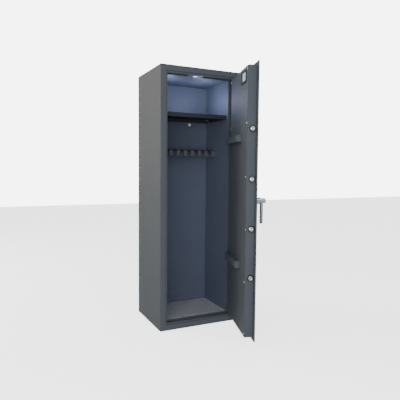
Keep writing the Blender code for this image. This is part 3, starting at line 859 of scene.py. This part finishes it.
class SAFE_OT_lamp(bpy.types.Operator):
    """Lamp plate across the upper channel, frosted lens and bright bezel"""

    bl_idname = "gun_safe.lamp"
    bl_label = "Lamp"

    def execute(self, context):
        low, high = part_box("lamp_plate")
        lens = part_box("lamp_lens")
        centre = middle(*lens)
        plate = block("lamp_carrier", low, high)
        cut(plate, [rod("drill", (centre.x, centre.y, low.z - 0.01),
                        (centre.x, centre.y, high.z + 0.01), 0.0125, 48)])
        rounded(plate, 0.0004, 2)
        finish(plate, "safe_body", "grey_paint", paint(), "lamp_plate")
        face = lens[0].z
        puck = turned("lamp_diffuser", (centre.x, centre.y, face), (0, 0, 1), [
            (0, 0), (0.0060, 0.0002), (0.0100, 0.0007), (0.0118, 0.0014), (0.0118, 0.0038),
            (0.0121, 0.0040), (0.0121, 0.0118), (0, 0.0118)])
        smooth(puck)
        finish(puck, "safe_body", "lamp_lens", lamp_glass(), "lamp_lens")
        bezel = turned("lamp_bezel", (centre.x, centre.y, face), (0, 0, 1), [
            (0.0119, 0.0013), (0.0126, 0.0008), (0.0140, 0.0012), (0.0150, 0.0026),
            (0.0150, 0.0038), (0.0119, 0.0038), (0.0119, 0.0013)])
        smooth(bezel)
        finish(bezel, "safe_body", "chrome", chrome())
        return {"FINISHED"}


class SAFE_OT_anchor_caps(bpy.types.Operator):
    """White push-in caps over the two anchor holes"""

    bl_idname = "gun_safe.anchor_caps"
    bl_label = "Anchor caps"

    def execute(self, context):
        low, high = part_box("anchor_cap_left")
        centre = middle(low, high)
        first = turned("cap_left", (centre.x, low.y, centre.z), (0, 1, 0), [
            (0, 0), (0.0036, 0.0001), (0.0066, 0.0006), (0.0082, 0.0014), (0.0090, 0.0024),
            (0.0090, 0.0030), (0.0066, 0.0030), (0.0064, 0.0080), (0.0060, 0.0140),
            (0, 0.0150)])
        smooth(first)
        other = middle(*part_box("anchor_cap_right"))
        second = twin(first, "cap_right", other - centre)
        for piece, side in ((first, "left"), (second, "right")):
            finish(piece, "safe_body", "white_plastic", white_polymer(),
                   f"anchor_cap_{side}")
        return {"FINISHED"}


class SAFE_OT_hinges(bpy.types.Operator):
    """Hinge brackets and pins in the frame, and the arms on the door"""

    bl_idname = "gun_safe.hinges"
    bl_label = "Hinges"

    def execute(self, context):
        for level in LEVELS:
            bracket = copied(f"clevis_{level}", f"hinge_bracket_{level}")
            rounded(bracket, 0.0006, 2, 40)
            finish(bracket, "safe_body", "zinc_plate", zinc(), f"hinge_bracket_{level}")
            self.pin(level)
            arm = copied(f"gooseneck_{level}", f"hinge_arm_{level}")
            rounded(arm, 0.0007, 2, 40)
            finish(arm, "door", "grey_paint", paint(), f"hinge_arm_{level}")
        return {"FINISHED"}

    @staticmethod
    def pin(level):
        low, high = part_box(f"hinge_pin_{level}")
        tall = high.z - low.z
        centre = middle(low, high)
        pin = turned(f"pin_{level}", (centre.x, centre.y, low.z), (0, 0, 1), [
            (0, 0), (0.0042, 0), (0.0050, 0.0008), (0.0050, tall - 0.0027),
            (0.0068, tall - 0.0027), (0.0072, tall - 0.0022), (0.0072, tall - 0.0010),
            (0.0060, tall), (0, tall)], 40)
        smooth(pin)
        finish(pin, "safe_body", "chrome", chrome(), f"hinge_pin_{level}")


# ================================================================ the door
def door_bores(*nodes):
    """Drills along Y through the door for the round pieces named."""
    drills = []
    for node, clearance in nodes:
        low, high = shut_box(node)
        centre = middle(low, high)
        radius = (high.x - low.x) / 2 + clearance
        drills.append(rod("drill", (centre.x, FRONT - 0.03, centre.z),
                          (centre.x, FRONT + 0.07, centre.z), radius, 40))
    return drills


class SAFE_OT_door_plate(bpy.types.Operator):
    """The thick outer plate of the door, bored for the spindle and the key"""

    bl_idname = "gun_safe.door_plate"
    bl_label = "Door plate"

    def execute(self, context):
        piece = block("door_face", *shut_box("door_plate"))
        cut(piece, door_bores(("handle_spindle", 0.0005), ("key_barrel", 0.0005)))
        rounded(piece, sizes().plate_radius, 3)
        swing(piece)
        finish(piece, "door", "grey_paint", paint(), "door_plate")
        return {"FINISHED"}


SCREWS = [f"panel_screw_{side}_{i}" for side in ("free", "hinge") for i in range(1, 7)]
BOLTS = [f"locking_bolt_{i}" for i in range(1, 5)]


def screw_drills(radius=0.0026):
    drills = []
    for node in SCREWS:
        centre = middle(*shut_box(node))
        drills.append(rod("drill", (centre.x, centre.y - 0.02, centre.z),
                          (centre.x, centre.y + 0.02, centre.z), radius, 20))
    return drills


class SAFE_OT_door_box(bpy.types.Operator):
    """Folded box behind the door plate, with round holes for the bolts"""

    bl_idname = "gun_safe.door_box"
    bl_label = "Door box"

    def execute(self, context):
        low, high = shut_box("door_box")
        sheet, lip = 0.0025, 0.0160
        near, far = low.y, high.y
        piece = folded_ring("door_box_fold", (low.x, high.x), (low.z, high.z), [
            (0, near), (0, far), (lip, far), (lip, far - sheet), (sheet, far - sheet),
            (sheet, near)])
        holes = []
        for node in BOLTS:
            centre = middle(*shut_box(node))
            holes.append(rod("drill", (low.x - 0.01, centre.y, centre.z),
                             (low.x + 0.01, centre.y, centre.z), 0.0152, 48))
        cut(piece, holes)
        cut(piece, screw_drills())
        rounded(piece, sizes().box_radius, 3, 60)
        swing(piece)
        finish(piece, "door", "grey_paint", paint(), "door_box")
        return {"FINISHED"}


class SAFE_OT_door_panel(bpy.types.Operator):
    """Flat inner panel that closes the door box"""

    bl_idname = "gun_safe.door_panel"
    bl_label = "Inner panel"

    def execute(self, context):
        piece = block("door_inner_panel", *shut_box("door_panel"))
        cut(piece, screw_drills())
        rounded(piece, sizes().panel_radius, 2)
        swing(piece)
        finish(piece, "door", "grey_paint", paint(), "door_panel")
        return {"FINISHED"}


class SAFE_OT_panel_screws(bpy.types.Operator):
    """Twelve domed screws with a cross recess"""

    bl_idname = "gun_safe.panel_screws"
    bl_label = "Panel screws"

    def execute(self, context):
        low, high = shut_box(SCREWS[0])
        centre = middle(low, high)
        deep = high.y - low.y
        first = turned(f"screw_{SCREWS[0][12:]}", (centre.x, low.y, centre.z), (0, 1, 0), [
            (0, 0), (0.0016, 0), (0.0022, 0.0006), (0.0022, deep - 0.0026),
            (0.0054, deep - 0.0026), (0.0055, deep - 0.0018), (0.0048, deep - 0.0007),
            (0.0034, deep + 0.0002), (0.0016, deep + 0.0006), (0, deep + 0.0007)], 28)
        arm, wide = 0.0024, 0.0005
        for reach in ((arm, wide), (wide, arm)):
            cut(first, [block("recess", (centre.x - reach[0], high.y - sizes().recess,
                                         centre.z - reach[1]),
                              (centre.x + reach[0], high.y + 0.002, centre.z + reach[1]))])
        pieces = [first]
        for node in SCREWS[1:]:
            place = middle(*shut_box(node))
            pieces.append(twin(first, f"screw_{node[12:]}", place - centre))
        for piece, node in zip(pieces, SCREWS):
            smooth(piece)
            swing(piece)
            finish(piece, "door", "chrome", chrome(), node)
        return {"FINISHED"}


class SAFE_OT_bolts(bpy.types.Operator):
    """Four round locking bolts, centre-drilled at the tip, in nylon guides"""

    bl_idname = "gun_safe.bolts"
    bl_label = "Locking bolts"

    def execute(self, context):
        low, high = shut_box(BOLTS[0])
        centre = middle(low, high)
        radius, long = (high.z - low.z) / 2, high.x - low.x
        first = turned("bolt_1", (high.x, centre.y, centre.z), (-1, 0, 0), [
            (0, 0), (radius - 0.0005, 0), (radius, 0.0005), (radius, long - 0.0020),
            (radius - 0.0006, long - 0.0008), (radius - 0.0018, long),
            (0.0052, long), (0.0048, long - 0.0004), (0, long - 0.0030)], 56)
        smooth(first)
        guide_low, guide_high = shut_box("bolt_bush_1")
        bore, lip = radius + 0.0003, 0.0175
        base = shut_box("door_box")[0].x - 0.0003
        guide = turned("guide_1", (base, centre.y, centre.z), (-1, 0, 0), [
            (bore, 0.0018), (bore + 0.0008, 0.0026), (lip - 0.0014, 0.0026),
            (lip - 0.0004, 0.0020), (lip, 0.0012), (lip, 0), (0.0149, 0),
            (0.0149, -0.0090), (bore, -0.0090), (bore, 0.0018)], 56)
        smooth(guide)
        bolts, guides = [first], [guide]
        for i, node in enumerate(BOLTS[1:], 2):
            shift = middle(*shut_box(node)) - centre
            bolts.append(twin(first, f"bolt_{i}", shift))
            guides.append(twin(guide, f"guide_{i}", shift))
        for i, (bolt, guide) in enumerate(zip(bolts, guides), 1):
            swing(bolt)
            finish(bolt, "boltwork", "chrome", chrome(), f"locking_bolt_{i}")
            swing(guide)
            finish(guide, "door", "black_plastic", nylon(), f"bolt_bush_{i}")
        return {"FINISHED"}


class SAFE_OT_handle(bpy.types.Operator):
    """Turning handle: round hub, straight lever and stepped rose"""

    bl_idname = "gun_safe.handle"
    bl_label = "Handle"

    def execute(self, context):
        low, high = shut_box("handle_hub")
        centre = middle(low, high)
        radius, long = (high.z - low.z) / 2, high.y - low.y
        bore = (shut_box("handle_spindle")[1].x - shut_box("handle_spindle")[0].x) / 2
        hub = turned("hub", (centre.x, high.y, centre.z), (0, -1, 0), [
            (0, 0.030), (bore + 0.0003, 0.030), (bore + 0.0003, 0), (radius - 0.0008, 0),
            (radius, 0.0008), (radius, 0.0060), (radius - 0.0006, 0.0066),
            (radius - 0.0006, 0.0078), (radius, 0.0084), (radius, long - 0.0026),
            (radius - 0.0006, long - 0.0014), (radius - 0.0016, long - 0.0004),
            (radius - 0.0030, long), (0, long)], 64)
        smooth(hub)
        swing(hub)
        finish(hub, "handle", "chrome", chrome(), "handle_hub")

        lever_low, lever_high = shut_box("handle_lever")
        stem = middle(lever_low, lever_high)
        grip, tall = (lever_high.x - lever_low.x) / 2, lever_high.z - lever_low.z
        lever = turned("lever", (stem.x, stem.y, lever_high.z), (0, 0, -1), [
            (0, 0), (0.0056, 0), (0.0060, 0.0004), (0.0060, 0.0040), (grip - 0.0012, 0.0042),
            (grip - 0.0003, 0.0048), (grip, 0.0058), (grip, tall - 0.0030),
            (grip - 0.0005, tall - 0.0014), (grip - 0.0018, tall - 0.0004),
            (grip - 0.0036, tall), (0, tall)], 48)
        smooth(lever)
        swing(lever)
        # The lever's darker plating is painted shade; its slot is chrome.
        finish(lever, "handle", "chrome", lever_chrome_painted_shade(), "handle_lever")

        low, high = shut_box("handle_rose")
        wide = (high.x - low.x) / 2
        inner = bore + 0.0005
        rose = turned("rose", (centre.x, high.y, centre.z), (0, -1, 0), [
            (inner, 0), (wide - 0.0004, 0), (wide, 0.0006), (wide, 0.0022),
            (wide - 0.0008, 0.0032), (wide - 0.0030, 0.0038), (wide - 0.0034, 0.0050),
            (wide - 0.0044, 0.0059), (0.0150, 0.0060), (0.0145, 0.0056), (inner, 0.0056),
            (inner, 0)], 72)
        smooth(rose)
        swing(rose)
        finish(rose, "door", "chrome", chrome(), "handle_rose")
        return {"FINISHED"}


class SAFE_OT_keyhole(bpy.types.Operator):
    """Keyhole plate with its rivet, and the drop-shaped swinging cover"""

    bl_idname = "gun_safe.keyhole"
    bl_label = "Keyhole"

    def execute(self, context):
        low, high = shut_box("keyhole_plate")
        key = middle(*shut_box("key_barrel"))
        wide = (high.z - low.z) / 2
        plate = turned("escutcheon", (key.x, high.y, key.z), (0, -1, 0), [
            (0, 0), (wide - 0.0003, 0), (wide, 0.0005), (wide, 0.0018),
            (wide - 0.0006, 0.0025), (wide - 0.0020, 0.0029), (0.0160, 0.0030),
            (0.0156, 0.0027), (0.0148, 0.0027), (0.0144, 0.0030), (0, 0.0030)], 64)
        cut(plate, [rod("eye", (key.x, FRONT - 0.02, key.z), (key.x, FRONT + 0.01, key.z),
                        0.0042, 32)])
        cut(plate, [block("slot", (key.x - 0.0022, FRONT - 0.02, key.z - 0.009),
                          (key.x + 0.0022, FRONT + 0.01, key.z + 0.001))])
        smooth(plate)
        swing(plate)
        finish(plate, "door", "chrome", chrome(), "keyhole_plate")

        swivel = next(j for j in frame["joints"] if j["name"] == "keyhole_cover_swing")
        place = SWING.inverted() @ Vector(swivel["pos_m"])
        rivet = turned("cover_rivet", (place.x, FRONT - 0.0031, place.z), (0, -1, 0), [
            (0, 0), (0.0014, 0), (0.0014, 0.0021), (0.0028, 0.0023), (0.0028, 0.0028),
            (0.0022, 0.0034), (0.0010, 0.0037), (0, 0.0037)], 24)
        smooth(rivet)
        swing(rivet)
        finish(rivet, "door", "chrome", chrome())
        cover = copied("swing_cover", "keyhole_cover")
        rounded(cover, 0.0004, 2, 40)
        finish(cover, "keyhole_cover", "chrome", chrome(), "keyhole_cover")
        return {"FINISHED"}


class SAFE_OT_rating_plate(bpy.types.Operator):
    """Blank certificate plate: black rim, white field, two small rivets"""

    bl_idname = "gun_safe.rating_plate"
    bl_label = "Blank rating plate"

    def execute(self, context):
        low, high = shut_box("rating_plate")
        piece = block("blank_plate", low, high)
        rounded(piece, 0.0003, 2, 60)
        swing(piece)
        finish(piece, "door", "black_plastic", black_vinyl(), "rating_plate")
        field = block("blank_field", (low.x + 0.024, high.y - 0.0002, low.z + 0.016),
                      (high.x - 0.028, high.y + 0.0003, high.z - 0.007))
        rounded(field, 0.0001, 1, 60)
        swing(field)
        finish(field, "door", "white_plastic", label_field())
        rivets = []
        for x, name in ((low.x + 0.003, "a"), (high.x - 0.003, "b")):
            rivet = turned(f"plate_rivet_{name}", (x, high.y - 0.0002, middle(low, high).z),
                           (0, 1, 0), [(0, 0), (0.0016, 0), (0.0016, 0.0004),
                                       (0.0011, 0.0008), (0, 0.0010)], 20)
            smooth(rivet)
            swing(rivet)
            finish(rivet, "door", "chrome", chrome())
        return {"FINISHED"}


class SAFE_OT_hidden_works(bpy.types.Operator):
    """Materials of the pieces that stand inside the walls and the door"""

    bl_idname = "gun_safe.hidden_works"
    bl_label = "Hidden works"

    def execute(self, context):
        for material, nodes in (
                (fire_board(), ("fire_insulation",)),
                (zinc(), ("lock_case",)),
                (rolled_steel(), ("hard_plate", "carrier_guide_lower", "carrier_guide_upper",
                                  "handle_spindle", "bolt_carrier")),
                (brass(), ("key_barrel", "dead_bolt"))):
            for name in nodes:
                for place in frame["nodes"][name].material_slots:
                    place.material = material
        return {"FINISHED"}


# ================================================================ the setting
def area_light(name, place, aim, size, power, colour="#FFFFFF"):
    lamp = bpy.data.lights.new(name, "AREA")
    lamp.shape = "RECTANGLE"
    lamp.size, lamp.size_y = size
    lamp.energy = power
    lamp.color = linear(colour)
    made = bpy.data.objects.new(name, lamp)
    bpy.context.scene.collection.objects.link(made)
    made.location = place
    made.rotation_euler = (Vector(aim) - Vector(place)).to_track_quat("-Z", "Y").to_euler()
    return made


def studio_white(name, code, glow):
    """Matt white studio paper, lit so that it stays pale behind the object."""
    made, tree = new_material(name)
    if tree is None:
        return made
    place = object_place(tree)
    cloud = noise(tree, place, 0.6, 2.0)
    colours = blend_colour(tree, cloud, shade(linear(code), 0.985), linear(code))
    close(tree, {"Base Color": colours, "Roughness": 0.9,
                 "Emission Color": (1.0, 1.0, 1.0, 1.0), "Emission Strength": glow})
    return made


class SAFE_OT_stage(bpy.types.Operator):
    """Pale floor and backdrop, soft studio lights and the camera"""

    bl_idname = "gun_safe.stage"
    bl_label = "Stage"

    def execute(self, context):
        floor = flat("studio_floor", (0, 0, -0.0005), (30, 30))
        floor.data.materials.append(studio_white("white_studio_floor", "#F2F2F1", 2.4))
        backdrop = flat("studio_backdrop", (0, 9, 8), (40, 30), math.pi / 2)
        backdrop.data.materials.append(studio_white("white_studio_paper", "#F2F2F1", 6.0))
        # The paper glows to stay pale; it must not light or streak the object.
        for paper in (floor, backdrop):
            paper.visible_diffuse = False
            paper.visible_glossy = False
        self.world(context)
        self.lights()
        self.camera(context)
        return {"FINISHED"}

    @staticmethod
    def world(context):
        world = bpy.data.worlds.new("studio")
        context.scene.world = world
        world.use_nodes = True
        tree = world.node_tree
        tree.nodes.clear()
        sky = add(tree, "ShaderNodeBackground", {
            "Color": (*linear("#EEF3FF"), 1.0), "Strength": 0.62})
        add(tree, "ShaderNodeOutputWorld", {"Surface": sky.outputs["Background"]})

    @staticmethod
    def lights():
        area_light("key", (-3.0, 2.0, 1.9), (-0.25, 0, 0.7), (2.2, 2.2), 120, "#FDF3E0")
        area_light("top_fill", (-0.6, -2.6, 3.2), (0, 0, 0.7), (2.4, 1.6), 24, "#EAF1FF")
        area_light("front_fill", (-1.5, -2.6, 0.9), (0, 0, 0.6), (2.2, 1.6), 74, "#F0F3FF")
        # The lamp's beam as it comes back off the lining, left and right of the lens.
        lens = middle(*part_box("lamp_lens"))
        for name, shift, share in (("left", (-0.115, 0.13, -0.085), 0.45),
                                   ("right", (0.118, 0.13, -0.105), 0.50)):
            glow = bpy.data.lights.new(f"lamp_glow_{name}", "POINT")
            glow.energy = finishes().lamp_power * share
            glow.color = finishes().lamp
            glow.shadow_soft_size = 0.06
            made = bpy.data.objects.new(f"lamp_glow_{name}", glow)
            bpy.context.scene.collection.objects.link(made)
            made.location = lens + Vector(shift)
            made.visible_camera = False

    @staticmethod
    def camera(context):
        """At eye height, to the left of the open front."""
        heading, dip, roll = (math.radians(a) for a in (25.78, 3.91, 0.49))
        ahead = Vector((math.sin(heading) * math.cos(dip),
                        math.cos(heading) * math.cos(dip), -math.sin(dip)))
        right = Vector((math.cos(heading), -math.sin(heading), 0))
        up = right.cross(ahead)
        right, up = (right * math.cos(roll) + up * math.sin(roll),
                     up * math.cos(roll) - right * math.sin(roll))
        lens = bpy.data.cameras.new("camera")
        lens.sensor_width = 36.0
        lens.lens = 38.84
        lens.clip_start, lens.clip_end = 0.05, 60.0
        camera = bpy.data.objects.new("camera", lens)
        context.scene.collection.objects.link(camera)
        turn = Matrix((right, up, -ahead)).transposed().to_4x4()
        camera.matrix_world = Matrix.Translation((-1.0939, -2.4535, 0.9177)) @ turn
        context.scene.camera = camera


# ================================================================ add-on
STEPS = (
    SAFE_OT_casing, SAFE_OT_door_frame, SAFE_OT_lining, SAFE_OT_felt, SAFE_OT_shelf,
    SAFE_OT_barrel_rest, SAFE_OT_lamp, SAFE_OT_anchor_caps, SAFE_OT_hinges,
    SAFE_OT_door_plate, SAFE_OT_door_box, SAFE_OT_door_panel, SAFE_OT_panel_screws,
    SAFE_OT_bolts, SAFE_OT_handle, SAFE_OT_keyhole, SAFE_OT_rating_plate,
    SAFE_OT_hidden_works, SAFE_OT_stage)


class SAFE_PT_panel(bpy.types.Panel):
    """Sizes, colours and building steps of the safe"""

    bl_idname = "SAFE_PT_panel"
    bl_label = "Steel gun safe"
    bl_space_type = "VIEW_3D"
    bl_region_type = "UI"
    bl_category = "Gun safe"

    def draw(self, context):
        for group in (context.scene.safe_sizes, context.scene.safe_finishes):
            box = self.layout.box()
            for name in group.bl_rna.properties.keys():
                if name not in ("rna_type", "name"):
                    box.prop(group, name)
        for step in STEPS:
            self.layout.operator(step.bl_idname)


CLASSES = (SafeSizes, SafeFinishes, *STEPS, SAFE_PT_panel)


def register():
    for item in CLASSES:
        bpy.utils.register_class(item)
    bpy.types.Scene.safe_sizes = PointerProperty(type=SafeSizes)
    bpy.types.Scene.safe_finishes = PointerProperty(type=SafeFinishes)


def unregister():
    del bpy.types.Scene.safe_finishes
    del bpy.types.Scene.safe_sizes
    for item in reversed(CLASSES):
        bpy.utils.unregister_class(item)


def main():
    register()
    for step in STEPS:
        group, name = step.bl_idname.split(".")
        getattr(getattr(bpy.ops, group), name)()
    bare()


if __name__ == "__main__":
    main()
